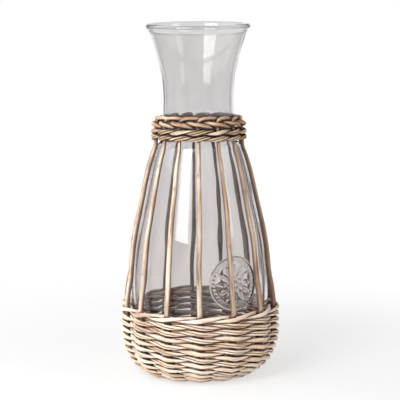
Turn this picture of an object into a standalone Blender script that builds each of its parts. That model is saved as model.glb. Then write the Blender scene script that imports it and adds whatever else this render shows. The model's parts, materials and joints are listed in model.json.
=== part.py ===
"""Wicker carafe: a glass carafe held in a woven willow cover. Metres, +Z up, the front faces -Y."""

import math

import bmesh
import bpy
from mathutils import Vector

MM = 0.001

# Gaps between pieces that touch
FIT = 0.3 * MM
WEAVE_GAP = 0.28 * MM

# Glass: each rise is measured up from the level before it, each radius is the outer one,
# and the belly bulges this far beyond the heel
GLASS_WALL = 3.0 * MM
GLASS_FLOOR = 6.0 * MM
PUNT_HEIGHT = 4.0 * MM
PUNT_RADIUS = 26.0 * MM
FOOT_FLAT_RADIUS = 40.0 * MM
HEEL_RISE = 20.0 * MM
HEEL_RADIUS = 57.0 * MM
BELLY_RISE = 33.0 * MM
BELLY_BULGE = 2.0 * MM
FLANK_RISE = 43.0 * MM
FLANK_RADIUS = 56.0 * MM
SLOPE_RISE = 42.0 * MM
SLOPE_RADIUS = 48.0 * MM
SHOULDER_RISE = 46.0 * MM
SHOULDER_RADIUS = 36.2 * MM
TUCK_RISE = 7.5 * MM
TUCK_RADIUS = 31.2 * MM
THROAT_RISE = 33.4 * MM
THROAT_RADIUS = 29.8 * MM
NECK_RISE = 17.0 * MM
NECK_RADIUS = 30.9 * MM
FLARE_RISE = 16.0 * MM
FLARE_RADIUS = 34.3 * MM
BELL_RISE = 15.0 * MM
BELL_RADIUS = 38.6 * MM
LIP_RISE = 10.5 * MM
LIP_RADIUS = 42.1 * MM
BEAD_RADIUS = 2.35 * MM

# Willow rods: seven long ones cross under the glass and turn up as fourteen stakes,
# and the back one stands this far round from straight behind the front one
THROUGH_RODS = 3
CROSS_RODS = 4
ROD_DIAMETER = 4.4 * MM
ROD_TIP_DIAMETER = 3.1 * MM
BACK_DRIFT = math.radians(6.0)

# Woven basket: each row is a pair of weavers that twist between the stakes,
# and the rows at the foot stay further out between them, by the fullness
WEAVER_DIAMETER = 2.5 * MM
SIDE_ROWS = 12
BASE_ROWS = 2
FOOT_RADIUS = 39.0 * MM
CORNER_HEIGHT = 36.0 * MM
DOME_SLOPE = 0.18
DOME_RADIUS = 25.0 * MM
REST_CUT = 0.45 * MM
END_TUCK = 1.0 * MM
FOOT_FULLNESS = 2.4 * MM
LEAN_HEIGHT = 26.0 * MM

# Collar: rows round the glass shoulder, which sit lower at the back by the drop, then a border
# of the bent stakes, which ends after this many neighbours
COLLAR_ROWS = 2
COLLAR_WEAVER_DIAMETER = 2.2 * MM
COLLAR_RISE = 10.2 * MM
COLLAR_LEAD = 10.0 * MM
COLLAR_DROP = 4.5 * MM
BORDER_RISE = 10.4 * MM
BORDER_GAP = 0.45 * MM
BORDER_BEND = 3.0 * MM
BORDER_END = 2.7

# A bent stake's places in the border, in shares of the rods' spacing: (neighbours passed, out, up).
# It runs behind the next stake and comes down in front of the one after.
BORDER_PLACES = (
    (0.0, 1.0, 0.0),
    (0.25, 1.05, 0.28),
    (0.5, 0.75, 0.36),
    (0.75, 0.32, 0.3),
    (1.0, 0.0, 0.08),
    (1.25, 0.12, -0.45),
    (1.5, 0.95, -0.72),
    (1.75, 1.7, -0.9),
    (2.0, 2.03, -1.02),
    (2.25, 1.9, -1.27),
    (2.5, 1.55, -1.6),
    (2.75, 1.2, -1.88),
)
BORDER_FOOT_DROP = 1.0
CROSSING_STRAIGHT = 0.85
CROSSING_SPREAD = 1.2

# Fineness of the round shapes
GLASS_SIDES_PER_STAKE = 2
HEEL_STEPS = 4
BEAD_STEPS = 4
CORNER_STEPS = 6
BODY_STEPS = 7
BORDER_STEPS = 11
ROD_BEVEL_RESOLUTION = 1

BELLY_RADIUS = HEEL_RADIUS + BELLY_BULGE
STAKES = 2 * (THROUGH_RODS + CROSS_RODS)
STAKE_ANGLE = 2.0 * math.pi / STAKES
NARROWEST_ANGLE = STAKE_ANGLE * (1.0 - BACK_DRIFT / 2.0)
ROD_SPACING = ROD_DIAMETER + FIT
ROW_PITCH = 2.0 * (WEAVER_DIAMETER + WEAVE_GAP)
COLLAR_PITCH = 2.0 * (COLLAR_WEAVER_DIAMETER + WEAVE_GAP)
BORDER_SPACING = ROD_TIP_DIAMETER + BORDER_GAP


def weave_reach(radius, rod_diameter, weaver_diameter, fullness=0.0):
    """How far a weaver swings inside and outside the stakes' own ring.

    Its slanting run clears the stakes too. Halfway between two stakes it lies outside
    the ring by the fullness.
    """
    clear = (0.5 * (rod_diameter + weaver_diameter) + FIT) ** 2
    half_space = (radius * NARROWEST_ANGLE / 2.0) ** 2
    shift = clear * fullness
    spread = math.sqrt(shift ** 2 + (half_space - clear) * clear * (half_space + fullness ** 2))
    return (spread + shift) / (half_space - clear), (spread - shift) / (half_space - clear)


def basket_reach(radius, fullness=0.0):
    return weave_reach(radius, ROD_DIAMETER, WEAVER_DIAMETER, fullness)


def collar_reach(radius):
    return weave_reach(radius, ROD_TIP_DIAMETER, COLLAR_WEAVER_DIAMETER)


FOOT_HEIGHT = basket_reach(FOOT_RADIUS, FOOT_FULLNESS)[1] + WEAVER_DIAMETER / 2.0 - REST_CUT
WALL_RADIUS = BELLY_RADIUS + FIT + WEAVER_DIAMETER / 2.0 + basket_reach(BELLY_RADIUS)[0]
INNER_RING_RADIUS = FOOT_RADIUS - BASE_ROWS * ROW_PITCH


def base_height(radius):
    """Height of the spokes' centres, which rise a little from the foot ring to the middle."""
    return FOOT_HEIGHT + DOME_SLOPE * (FOOT_RADIUS - max(radius, DOME_RADIUS))


BASE_TOP = base_height(INNER_RING_RADIUS) + basket_reach(INNER_RING_RADIUS)[0] + WEAVER_DIAMETER / 2.0
SLATH_TOP = base_height(0.0) + ROD_SPACING / 2.0 + ROD_DIAMETER / 2.0
GLASS_BOTTOM = max(BASE_TOP, SLATH_TOP) + FIT


def glass_levels():
    """(height, outer radius) of the glass's levels, from the heel to the lip."""
    height = GLASS_BOTTOM
    levels = []
    for rise, radius in (
        (HEEL_RISE, HEEL_RADIUS),
        (BELLY_RISE, BELLY_RADIUS),
        (FLANK_RISE, FLANK_RADIUS),
        (SLOPE_RISE, SLOPE_RADIUS),
        (SHOULDER_RISE, SHOULDER_RADIUS),
        (TUCK_RISE, TUCK_RADIUS),
        (THROAT_RISE, THROAT_RADIUS),
        (NECK_RISE, NECK_RADIUS),
        (FLARE_RISE, FLARE_RADIUS),
        (BELL_RISE, BELL_RADIUS),
        (LIP_RISE, LIP_RADIUS),
    ):
        height += rise
        levels.append((height, radius))
    return levels


LEVELS = glass_levels()
SHOULDER_HEIGHT = LEVELS[4][0]
LIP_HEIGHT = LEVELS[-1][0]


def level_slopes():
    """A slope at each level that keeps the curve from swinging past the levels' radii."""
    steps = [
        (upper[1] - lower[1]) / (upper[0] - lower[0]) for lower, upper in zip(LEVELS, LEVELS[1:])
    ]
    slopes = [steps[0]]
    for below, above in zip(steps, steps[1:]):
        same_way = below * above > 0.0
        slopes.append(2.0 * below * above / (below + above) if same_way else 0.0)
    slopes.append(steps[-1])
    return slopes


SLOPES = level_slopes()


def glass_radius(height):
    """Outer radius of the glass above its heel."""
    index = 0
    while index < len(LEVELS) - 2 and height > LEVELS[index + 1][0]:
        index += 1
    (low, low_radius), (high, high_radius) = LEVELS[index], LEVELS[index + 1]
    span = high - low
    t = min(max((height - low) / span, 0.0), 1.0)
    smooth = t * t * (3.0 - 2.0 * t)
    start = span * SLOPES[index] * t * (1.0 - t) ** 2
    end = span * SLOPES[index + 1] * t * t * (t - 1.0)
    return low_radius + (high_radius - low_radius) * smooth + start + end


# Levels that the wicker takes from the glass and from its own rows
WALL_START = FOOT_HEIGHT + CORNER_HEIGHT
CORNER_REACH = WALL_RADIUS - FOOT_RADIUS
CORNER_SAMPLES = 64


def corner_place(turn):
    """(radius, height, outward normal) on the stakes' corner, turned 0 at the foot and pi/2 at the wall."""
    radius = FOOT_RADIUS + CORNER_REACH * math.sin(turn)
    height = FOOT_HEIGHT + CORNER_HEIGHT * (1.0 - math.cos(turn))
    normal = Vector((math.sin(turn) / CORNER_REACH, -math.cos(turn) / CORNER_HEIGHT)).normalized()
    return radius, height, normal


def corner_lengths():
    """The corner's length from the foot up to each of its sample turns."""
    lengths = [0.0]
    radius, height, _ = corner_place(0.0)
    for sample in range(1, CORNER_SAMPLES + 1):
        next_radius, next_height, _ = corner_place(sample / CORNER_SAMPLES * math.pi / 2.0)
        lengths.append(lengths[-1] + math.hypot(next_radius - radius, next_height - height))
        radius, height = next_radius, next_height
    return lengths


CORNER_LENGTHS = corner_lengths()


def row_place(row):
    """(radius, height, outward normal) of a basket row, counted from the foot: base rows are below zero."""
    distance = row * ROW_PITCH
    if distance <= 0.0:
        radius = FOOT_RADIUS + distance
        return radius, base_height(radius), Vector((0.0, -1.0))
    if distance >= CORNER_LENGTHS[-1]:
        height = WALL_START + distance - CORNER_LENGTHS[-1]
        return WALL_RADIUS, height, Vector((1.0, 0.0))
    sample = next(i for i, length in enumerate(CORNER_LENGTHS) if length >= distance)
    before, after = CORNER_LENGTHS[sample - 1], CORNER_LENGTHS[sample]
    share = (distance - before) / (after - before)
    return corner_place((sample - 1 + share) / CORNER_SAMPLES * math.pi / 2.0)


BASKET_TOP = max(row_place(SIDE_ROWS)[1], WALL_START) + ROW_PITCH / 2.0
COLLAR_START = SHOULDER_HEIGHT + COLLAR_RISE
COLLAR_END = COLLAR_START + (COLLAR_ROWS - 1) * COLLAR_PITCH
COLLAR_FOOT = COLLAR_START - COLLAR_DROP - COLLAR_WEAVER_DIAMETER / 2.0
COLLAR_INSIDE = glass_radius(COLLAR_FOOT) + FIT + COLLAR_WEAVER_DIAMETER / 2.0
COLLAR_RADIUS = COLLAR_INSIDE + collar_reach(COLLAR_INSIDE)[0]
BORDER_HEIGHT = COLLAR_END + BORDER_RISE
BORDER_FOOT = BORDER_HEIGHT - BORDER_FOOT_DROP * BORDER_SPACING
BORDER_RADIUS = glass_radius(BORDER_HEIGHT - COLLAR_DROP) + FIT + ROD_TIP_DIAMETER / 2.0


def ramp(value, low, high):
    return min(max((value - low) / (high - low), 0.0), 1.0)


def border_place(turns):
    """(radius, height) of a bent stake after it has passed this many of its neighbours."""
    index = 0
    while index < len(BORDER_PLACES) - 2 and turns > BORDER_PLACES[index + 1][0]:
        index += 1
    (start, start_out, start_up), (end, end_out, end_up) = BORDER_PLACES[index], BORDER_PLACES[index + 1]
    share = (turns - start) / (end - start)
    out = start_out + (end_out - start_out) * share
    up = start_up + (end_up - start_up) * share
    return BORDER_RADIUS + BORDER_SPACING * out, BORDER_HEIGHT + BORDER_SPACING * up


def rod_radius(height):
    """The rods thin steadily from the basket's top to the collar."""
    share = ramp(height, BASKET_TOP, COLLAR_START - COLLAR_DROP)
    return 0.5 * (ROD_DIAMETER + (ROD_TIP_DIAMETER - ROD_DIAMETER) * share)


def stake_radius(height):
    """Radius of the stakes' centres above the basket."""
    hug = glass_radius(height) + FIT + rod_radius(height)
    if height < COLLAR_START:
        lean = ramp(height, BASKET_TOP, BASKET_TOP + LEAN_HEIGHT)
        on_glass = WALL_RADIUS + (hug - WALL_RADIUS) * lean
        lead = ramp(height, COLLAR_START - COLLAR_LEAD, COLLAR_START)
        return on_glass + (COLLAR_RADIUS - on_glass) * lead
    top = COLLAR_END + COLLAR_WEAVER_DIAMETER / 2.0
    share = ramp(height, top, max(BORDER_FOOT, top + FIT))
    return COLLAR_RADIUS + (border_place(0.0)[0] - COLLAR_RADIUS) * share


def at(radius, azimuth, height):
    """A point this far round from the front, which faces -Y, towards +X.

    The stakes drift round and the collar drops, both of them most at the back.
    """
    backward = (1.0 - math.cos(azimuth)) / 2.0
    turned = azimuth + BACK_DRIFT * backward
    in_collar = ramp(height, COLLAR_START - COLLAR_LEAD, COLLAR_START - COLLAR_WEAVER_DIAMETER)
    level = height - COLLAR_DROP * backward * in_collar
    return Vector((radius * math.sin(turned), -radius * math.cos(turned), level))


def make_collection(name):
    collection = bpy.data.collections.new(name)
    bpy.context.scene.collection.children.link(collection)
    return collection


def make_material(name, color, roughness):
    material = bpy.data.materials.new(name)
    material.use_nodes = True
    shader = material.node_tree.nodes["Principled BSDF"]
    shader.inputs["Base Color"].default_value = (*color, 1.0)
    shader.inputs["Roughness"].default_value = roughness
    shader.inputs["Metallic"].default_value = 0.0
    material.diffuse_color = (*color, 1.0)
    return material


def add_rod(name, points, radii, collection, material):
    """A round willow rod along the points, with a radius at each."""
    thickest = max(radii)
    curve = bpy.data.curves.new(name, "CURVE")
    curve.dimensions = "3D"
    curve.bevel_depth = thickest
    curve.bevel_resolution = ROD_BEVEL_RESOLUTION
    curve.use_fill_caps = True
    spline = curve.splines.new("POLY")
    spline.points.add(len(points) - 1)
    for spot, place, radius in zip(spline.points, points, radii):
        spot.co = (*place, 1.0)
        spot.radius = radius / thickest
    curve.materials.append(material)
    rod = bpy.data.objects.new(name, curve)
    collection.objects.link(rod)
    return rod


def arc(centre, semi_axes, start, end, steps):
    """Points on an upright ellipse arc, both ends included, with angles measured up from the +X side."""
    points = []
    for step in range(steps + 1):
        angle = start + (end - start) * step / steps
        points.append(
            (centre[0] + semi_axes[0] * math.cos(angle), centre[1] + semi_axes[1] * math.sin(angle))
        )
    return points


def glass_outline():
    """The glass's section from the middle of its inner floor, up the inside and down the outside."""
    inner_foot = FOOT_FLAT_RADIUS - GLASS_WALL
    heel_height = GLASS_BOTTOM + HEEL_RISE
    inner_heel = arc(
        (inner_foot, heel_height),
        (HEEL_RADIUS - GLASS_WALL - inner_foot, HEEL_RISE - GLASS_FLOOR),
        -math.pi / 2.0,
        0.0,
        HEEL_STEPS,
    )
    heights = [level[0] for level in LEVELS]
    middles = [0.5 * (low + high) for low, high in zip(heights, heights[1:])]
    rising = sorted(heights[1:-1] + middles)
    inside = [(glass_radius(height) - GLASS_WALL, height) for height in rising]
    outside = [(glass_radius(height), height) for height in reversed(rising)]
    bead = arc(
        (LIP_RADIUS, LIP_HEIGHT + BEAD_RADIUS),
        (BEAD_RADIUS, BEAD_RADIUS),
        math.pi,
        -math.pi / 3.0,
        BEAD_STEPS,
    )
    outer_heel = arc(
        (FOOT_FLAT_RADIUS, heel_height),
        (HEEL_RADIUS - FOOT_FLAT_RADIUS, HEEL_RISE),
        0.0,
        -math.pi / 2.0,
        HEEL_STEPS,
    )
    punt = [
        (PUNT_RADIUS, GLASS_BOTTOM),
        (PUNT_RADIUS / 2.0, GLASS_BOTTOM + 0.75 * PUNT_HEIGHT),
        (0.0, GLASS_BOTTOM + PUNT_HEIGHT),
    ]
    floor = [
        (0.0, GLASS_BOTTOM + PUNT_HEIGHT + GLASS_FLOOR),
        (PUNT_RADIUS / 2.0, GLASS_BOTTOM + 0.75 * PUNT_HEIGHT + GLASS_FLOOR),
    ]
    return floor + inner_heel + inside + bead + outside + outer_heel + punt


def add_glass(collection, material):
    """The carafe: its section turned once round the axis."""
    mesh = bpy.data.meshes.new("glass_carafe")
    section = bmesh.new()
    spots = [section.verts.new((radius, 0.0, height)) for radius, height in glass_outline()]
    for lower, upper in zip(spots, spots[1:]):
        section.edges.new((lower, upper))
    section.to_mesh(mesh)
    section.free()
    mesh.materials.append(material)
    glass = bpy.data.objects.new("glass_carafe", mesh)
    collection.objects.link(glass)
    turn = glass.modifiers.new("turn", "SCREW")
    turn.steps = GLASS_SIDES_PER_STAKE * STAKES
    turn.render_steps = turn.steps
    turn.use_merge_vertices = True
    turn.merge_threshold = 0.01 * MM
    turn.use_smooth_shade = True
    return glass


def border_points(azimuth):
    """The bent end of a stake: the tight bend, behind the next stake and down outside the one after."""
    points = [at(border_place(0.0)[0], azimuth, BORDER_HEIGHT - BORDER_BEND)]
    bend_turns = BORDER_BEND / (BORDER_RADIUS * STAKE_ANGLE)
    half = math.sqrt(0.5)
    turns = bend_turns * (1.0 - half)
    radius, height = border_place(turns)
    points.append(at(radius, azimuth + turns * STAKE_ANGLE, height - BORDER_BEND * (1.0 - half)))
    for step in range(BORDER_STEPS + 1):
        turns = bend_turns + (BORDER_END - bend_turns) * step / BORDER_STEPS
        radius, height = border_place(turns)
        points.append(at(radius, azimuth + turns * STAKE_ANGLE, height))
    return points


def base_points(azimuth, group_azimuth, layer):
    """A rod's run from the crossing in the middle out to the foot: side by side at first, then spread."""
    spread = azimuth - group_azimuth
    place_in_group = spread / STAKE_ANGLE
    offset = place_in_group * ROD_SPACING
    bend_radius = ROD_SPACING / STAKE_ANGLE
    if abs(spread) > 1e-6:
        bend_radius = offset / math.sin(spread)
    along = CROSSING_STRAIGHT * bend_radius * math.cos(spread)
    straight = math.hypot(along, offset)
    middle_height = base_height(0.0)
    halfway = 0.5 * (DOME_RADIUS + FOOT_RADIUS)
    return [
        at(straight, group_azimuth + math.atan2(offset, along), middle_height + layer),
        at(CROSSING_SPREAD * bend_radius, azimuth, middle_height + layer),
        at(DOME_RADIUS, azimuth, middle_height),
        at(halfway, azimuth, base_height(halfway)),
    ]


def stake_points(azimuth):
    """A stake from the foot ring round the corner, up the basket and along the glass to the collar."""
    points = []
    for step in range(CORNER_STEPS + 1):
        radius, height, _ = corner_place(step / CORNER_STEPS * math.pi / 2.0)
        points.append(at(radius, azimuth, height))
    points.append(at(WALL_RADIUS, azimuth, BASKET_TOP))
    lean_top = BASKET_TOP + LEAN_HEIGHT
    lean_middle = BASKET_TOP + 0.5 * LEAN_HEIGHT
    points.append(at(stake_radius(lean_middle), azimuth, lean_middle))
    lead_foot = COLLAR_START - COLLAR_LEAD
    for step in range(BODY_STEPS + 1):
        height = lean_top + (lead_foot - lean_top) * step / BODY_STEPS
        points.append(at(stake_radius(height), azimuth, height))
    for height in (COLLAR_START, COLLAR_END, COLLAR_END + COLLAR_WEAVER_DIAMETER / 2.0, BORDER_FOOT):
        points.append(at(stake_radius(height), azimuth, height))
    return points


def half_rod(azimuth, group_azimuth, layer):
    return base_points(azimuth, group_azimuth, layer) + stake_points(azimuth) + border_points(azimuth)


def add_long_rod(name, ends, layer, collection, material):
    """One long rod: up on one side, under the glass and up on the other side, with both ends bent over."""
    (first, first_group), (second, second_group) = ends
    points = list(reversed(half_rod(first, first_group, layer)))
    points += half_rod(second, second_group, layer)
    radii = [rod_radius(point.z) for point in points]
    return add_rod(name, points, radii, collection, material)


def add_long_rods(collection, material):
    """Three rods from front to back over four from side to side."""
    quarter = math.pi / 2.0
    for number in range(THROUGH_RODS):
        turn = (number - (THROUGH_RODS - 1) / 2.0) * STAKE_ANGLE
        ends = ((turn, 0.0), (2.0 * quarter - turn, 2.0 * quarter))
        name = f"stake_rod_front_back_{number + 1}"
        add_long_rod(name, ends, ROD_SPACING / 2.0, collection, material)
    for number in range(CROSS_RODS):
        turn = (number - (CROSS_RODS - 1) / 2.0) * STAKE_ANGLE
        ends = ((quarter + turn, quarter), (-quarter - turn, -quarter))
        name = f"stake_rod_side_to_side_{number + 1}"
        add_long_rod(name, ends, -ROD_SPACING / 2.0, collection, material)


def weaver_points(place, reach, fullness, crossing, twist, start):
    """One weaver of a pair, once round: behind one stake, then in front of the next.

    Halfway it crosses its partner. Twist +1 brings it out from behind a stake on the lower side,
    and -1 on the upper side.
    """
    inside, outside = reach
    radius, height, normal = place
    along = Vector((-normal.y, normal.x))
    tuck = END_TUCK / radius / STAKE_ANGLE
    last = 2 * STAKES
    points = []
    for step in range(last + 1):
        behind = step % 4 == 0
        in_front = step % 4 == 2
        coming_out = step % 4 == 1
        out = outside * in_front - inside * behind
        up = 0.0
        if not behind and not in_front:
            out = fullness
            up = crossing * twist * (-1.0 if coming_out else 1.0)
        turns = start + step / 2.0
        turns += tuck if step == 0 else 0.0
        turns -= tuck if step == last else 0.0
        points.append(
            at(
                radius + out * normal.x + up * along.x,
                turns * STAKE_ANGLE,
                height + out * normal.y + up * along.y,
            )
        )
    return points


def add_pair(name, place, reach, fullness, diameter, twist, start, collection, material):
    """The two weavers of a row, the second of them one stake on."""
    crossing = 0.5 * (diameter + WEAVE_GAP)
    pair = []
    for number, letter in enumerate("ab"):
        points = weaver_points(place, reach, fullness, crossing, twist, start + number)
        radii = [diameter / 2.0] * len(points)
        pair.append(add_rod(f"{name}_{letter}", points, radii, collection, material))
    return pair


def add_basket(collection, material):
    """The basket's rows from the base's inner ring to the top, and the pair of the foot ring."""
    foot_pair = []
    for row in range(-BASE_ROWS, SIDE_ROWS + 1):
        place = row_place(row)
        name = f"side_row_{row:02d}"
        if row == 0:
            name = "foot_ring"
        elif row < 0:
            name = f"base_ring_{-row}"
        twist = 1.0 if row == SIDE_ROWS else -1.0
        start = STAKES // 2 + row % 3
        fullness = -FOOT_FULLNESS * place[2].y if row >= 0 else 0.0
        reach = basket_reach(place[0], fullness)
        pair = add_pair(
            name, place, reach, fullness, WEAVER_DIAMETER, twist, start, collection, material
        )
        if row == 0:
            foot_pair = pair
    return foot_pair


def add_collar(collection, material):
    for row in range(COLLAR_ROWS):
        height = COLLAR_START + row * COLLAR_PITCH
        place = (COLLAR_RADIUS, height, Vector((1.0, 0.0)))
        reach = collar_reach(COLLAR_RADIUS)
        start = STAKES // 2 + row
        name = f"collar_row_{row + 1}"
        add_pair(name, place, reach, 0.0, COLLAR_WEAVER_DIAMETER, 1.0, start, collection, material)


def curve_to_mesh(rod, collection):
    """The same rod as a mesh with its caps welded on, so that it can be cut."""
    name = rod.name
    evaluated = rod.evaluated_get(bpy.context.evaluated_depsgraph_get())
    mesh = bpy.data.meshes.new_from_object(evaluated)
    shape = bmesh.new()
    shape.from_mesh(mesh)
    bmesh.ops.remove_doubles(shape, verts=shape.verts, dist=0.001 * MM)
    shape.to_mesh(mesh)
    shape.free()
    placed = rod.matrix_world.copy()
    bpy.data.objects.remove(rod)
    solid = bpy.data.objects.new(name, mesh)
    solid.matrix_world = placed
    collection.objects.link(solid)
    return solid


def cut_rest_face(foot_pair, collection, cutters):
    """Cuts the foot ring flat where the basket stands."""
    width = 3.0 * FOOT_RADIUS
    depth = 2.0 * WEAVER_DIAMETER
    bpy.ops.mesh.primitive_cube_add(size=1.0, location=(0.0, 0.0, -depth / 2.0))
    cutter = bpy.context.object
    cutter.name = "floor_cutter"
    cutter.dimensions = (width, width, depth)
    cutter.hide_render = True
    cutter.display_type = "WIRE"
    for holder in list(cutter.users_collection):
        holder.objects.unlink(cutter)
    cutters.objects.link(cutter)
    for rod in foot_pair:
        solid = curve_to_mesh(rod, collection)
        cut = solid.modifiers.new("rest_face", "BOOLEAN")
        cut.operation = "DIFFERENCE"
        cut.object = cutter


def main():
    for obj in list(bpy.data.objects):
        bpy.data.objects.remove(obj)
    carafe = make_collection("wicker_carafe")
    cutters = make_collection("cutters")
    glass = make_material("clear_glass", (0.80, 0.81, 0.81), 0.05)
    rod = make_material("willow_rod", (0.66, 0.48, 0.30), 0.6)
    weaver = make_material("willow_weaver", (0.78, 0.62, 0.44), 0.6)
    collar = make_material("willow_collar", (0.55, 0.37, 0.22), 0.6)
    add_glass(carafe, glass)
    add_long_rods(carafe, rod)
    foot_pair = add_basket(carafe, weaver)
    add_collar(carafe, collar)
    bpy.context.view_layer.update()
    cut_rest_face(foot_pair, carafe, cutters)


main()
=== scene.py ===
import json
import math

import bmesh
import bpy
from mathutils import Matrix, Vector, noise
from mathutils.bvhtree import BVHTree

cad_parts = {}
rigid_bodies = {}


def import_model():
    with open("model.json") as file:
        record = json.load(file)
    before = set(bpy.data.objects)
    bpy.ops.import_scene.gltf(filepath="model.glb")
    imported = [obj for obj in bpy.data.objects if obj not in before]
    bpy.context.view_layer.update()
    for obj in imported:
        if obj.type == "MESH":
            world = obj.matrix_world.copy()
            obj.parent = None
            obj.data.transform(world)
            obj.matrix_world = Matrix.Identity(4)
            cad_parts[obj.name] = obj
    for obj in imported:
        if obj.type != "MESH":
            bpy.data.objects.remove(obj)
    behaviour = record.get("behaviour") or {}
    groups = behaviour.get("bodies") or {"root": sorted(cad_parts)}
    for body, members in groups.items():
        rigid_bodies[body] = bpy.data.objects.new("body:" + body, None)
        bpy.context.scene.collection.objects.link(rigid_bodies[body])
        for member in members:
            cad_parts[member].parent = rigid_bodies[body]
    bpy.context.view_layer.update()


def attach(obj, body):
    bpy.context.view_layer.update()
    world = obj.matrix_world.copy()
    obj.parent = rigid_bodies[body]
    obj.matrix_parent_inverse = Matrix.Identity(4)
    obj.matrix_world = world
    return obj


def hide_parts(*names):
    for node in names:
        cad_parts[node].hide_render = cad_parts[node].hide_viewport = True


# A glass carafe in a willow cover. Metres, +Z up, the front stake faces -Y.
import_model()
mm = 0.001

# The same sizes as the solids, in millimetres
glassShape = {
    "wall": 3.0, "floor": 6.0, "pushUp": 4.0, "pushUpRadius": 26.0, "flatRadius": 40.0, "beadRadius": 2.35,
    "rises": (20.0, 33.0, 43.0, 42.0, 46.0, 7.5, 33.4, 17.0, 16.0, 15.0, 10.5),  # each from the level before
    "radii": (57.0, 59.0, 56.0, 48.0, 36.2, 31.2, 29.8, 30.9, 34.3, 38.6, 42.1),  # outside, at each level
    "bellyLevel": 1, "shoulderLevel": 4,
}
wickerShape = {
    "fit": 0.3, "weaveGap": 0.28, "rod": 4.4, "rodTip": 3.1, "weaver": 2.5,
    "throughRods": 3, "crossRods": 4, "sideRows": 12, "baseRows": 2,
    "footRadius": 39.0, "cornerHeight": 36.0, "domeSlope": 0.18, "domeRadius": 25.0,
    "backDrift": 6.0,  # degrees the back stake stands round from straight behind the front one
    "restCut": 0.45, "endTuck": 1.0, "footFullness": 2.4, "leanHeight": 26.0,
    "collarRows": 2, "collarWeaver": 2.2, "collarRise": 10.2, "collarLead": 10.0, "collarDrop": 4.5,
    "borderRise": 10.4, "borderGap": 0.45, "borderBend": 3.0, "borderEnd": 2.7, "borderFootDrop": 1.0,
}
borderPlaces = (  # neighbours passed, and how far out and up by then in shares of the rods' spacing
    (0.0, 1.0, 0.0), (0.25, 1.05, 0.28), (0.5, 0.75, 0.36), (0.75, 0.32, 0.3),
    (1.0, 0.0, 0.08), (1.25, 0.12, -0.45), (1.5, 0.95, -0.72), (1.75, 1.7, -0.9),
    (2.0, 2.03, -1.02), (2.25, 1.9, -1.27), (2.5, 1.55, -1.6), (2.75, 1.2, -1.88),
)

stakeCount = 2 * (wickerShape["throughRods"] + wickerShape["crossRods"])
stakeAngle = 2 * math.pi / stakeCount
backDrift = math.radians(wickerShape["backDrift"])


# How far a weaver swings inside and outside the stakes
def swing(radius, rodSize, weaverSize, fullness=0.0):
    clear = ((rodSize + weaverSize) / 2 + wickerShape["fit"]) ** 2
    space = (radius * stakeAngle * (1 - backDrift / 2) / 2) ** 2
    shift = clear * fullness
    spread = math.sqrt(shift ** 2 + (space - clear) * clear * (space + fullness ** 2))
    return (spread + shift) / (space - clear), (spread - shift) / (space - clear)


def basketSwing(radius, fullness=0.0):
    return swing(radius, wickerShape["rod"], wickerShape["weaver"], fullness)


def collarSwing(radius):
    return swing(radius, wickerShape["rodTip"], wickerShape["collarWeaver"])


rowPitch = 2 * (wickerShape["weaver"] + wickerShape["weaveGap"])
collarPitch = 2 * (wickerShape["collarWeaver"] + wickerShape["weaveGap"])
rodSpacing = wickerShape["rod"] + wickerShape["fit"]
bellyRadius = glassShape["radii"][glassShape["bellyLevel"]]
footSwing = basketSwing(wickerShape["footRadius"], wickerShape["footFullness"])[1]
footHeight = footSwing + wickerShape["weaver"] / 2 - wickerShape["restCut"]
wallRadius = bellyRadius + wickerShape["fit"] + wickerShape["weaver"] / 2 + basketSwing(bellyRadius)[0]
innerRing = wickerShape["footRadius"] - wickerShape["baseRows"] * rowPitch


def baseHeight(radius):  # the woven base rises inwards as a shallow dome
    inward = wickerShape["footRadius"] - max(radius, wickerShape["domeRadius"])
    return footHeight + wickerShape["domeSlope"] * inward


glassBottom = wickerShape["fit"] + max(
    baseHeight(innerRing) + basketSwing(innerRing)[0] + wickerShape["weaver"] / 2,
    baseHeight(0) + rodSpacing / 2 + wickerShape["rod"] / 2,
)
levels = []
reached = glassBottom
for rise, levelRadius in zip(glassShape["rises"], glassShape["radii"]):
    reached += rise
    levels.append((reached, levelRadius))
steepness = [(b[1] - a[1]) / (b[0] - a[0]) for a, b in zip(levels, levels[1:])]
slopes = [steepness[0]]
for a, b in zip(steepness, steepness[1:]):
    slopes.append(2 * a * b / (a + b) if a * b > 0 else 0.0)  # upright where the outline turns back
slopes.append(steepness[-1])


def glassRadius(height):  # a smooth curve through the levels
    i = 0
    while i < len(levels) - 2 and height > levels[i + 1][0]:
        i += 1
    (low, lowRadius), (high, highRadius) = levels[i], levels[i + 1]
    t = min(max((height - low) / (high - low), 0), 1)
    bent = (high - low) * (slopes[i] * t * (1 - t) ** 2 + slopes[i + 1] * t * t * (t - 1))
    return lowRadius + (highRadius - lowRadius) * t * t * (3 - 2 * t) + bent


wallStart = footHeight + wickerShape["cornerHeight"]
cornerReach = wallRadius - wickerShape["footRadius"]


def cornerPlace(turn):  # radius, height and outward normal at this turn of the corner
    radius = wickerShape["footRadius"] + cornerReach * math.sin(turn)
    height = footHeight + wickerShape["cornerHeight"] * (1 - math.cos(turn))
    normal = Vector((math.sin(turn) / cornerReach, -math.cos(turn) / wickerShape["cornerHeight"]))
    return radius, height, normal.normalized()


cornerSteps = 64
cornerRun = [0.0]
for step in range(cornerSteps):
    a = cornerPlace(step / cornerSteps * math.pi / 2)
    b = cornerPlace((step + 1) / cornerSteps * math.pi / 2)
    cornerRun.append(cornerRun[-1] + math.hypot(b[0] - a[0], b[1] - a[1]))


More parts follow.
